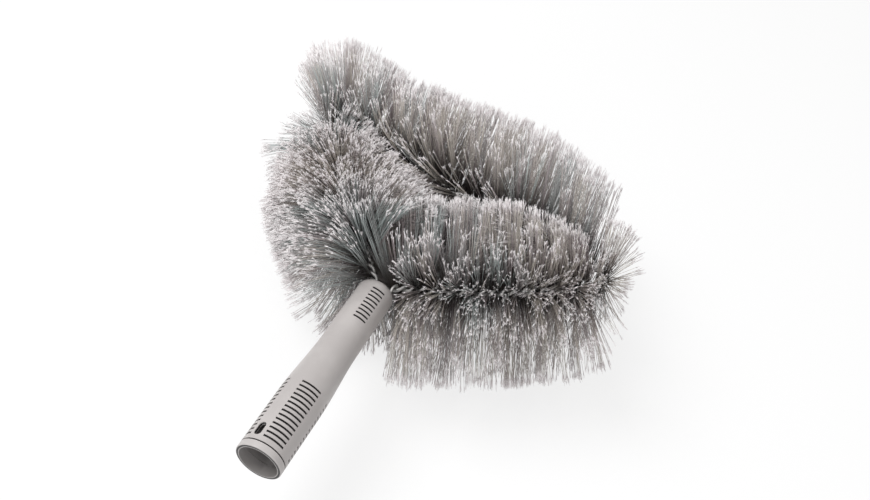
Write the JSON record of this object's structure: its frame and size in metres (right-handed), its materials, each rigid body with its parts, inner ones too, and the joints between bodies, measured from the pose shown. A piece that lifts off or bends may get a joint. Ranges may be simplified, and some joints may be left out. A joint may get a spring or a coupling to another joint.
{
  "type": "cobweb brush head",
  "caption": "Cobweb brush head: a twisted-wire brush bent into a triangular loop, anchored in the domed nose of a hollow tapered grip that pushes onto a round pole.",
  "frame": {"origin": "centre of the grip's open end, on the axis of the pole socket", "axes": "+X along the grip from its mouth towards the brush, +Y to the left of the grip, +Z square to the plane of the loop"},
  "size_m": [0.336, 0.3544, 0.1269],
  "materials": {
    "grip_plastic": "satin moulded plastic, light warm grey",
    "collar_plastic": "satin moulded plastic, light warm grey, with a rounded edge",
    "anchor_plastic": "dark moulded plastic, hidden inside the nose",
    "ferrule_metal": "plain drawn aluminium, crimped",
    "stem_wire": "galvanised steel wire, dull",
    "bristle": "grey synthetic filament with paler flagged tips"
  },
  "bodies": {
    "root": {"grip_shell": "grip_plastic", "mouth_collar": "collar_plastic", "wire_anchor": "anchor_plastic", "stem_ferrules": "ferrule_metal", "core_wire_a": "stem_wire", "core_wire_b": "stem_wire", "bristles_left_leg": "bristle", "bristles_left_corner": "bristle", "bristles_far_side": "bristle", "bristles_right_corner": "bristle", "bristles_right_leg": "bristle"}
  },
  "joints": []
}
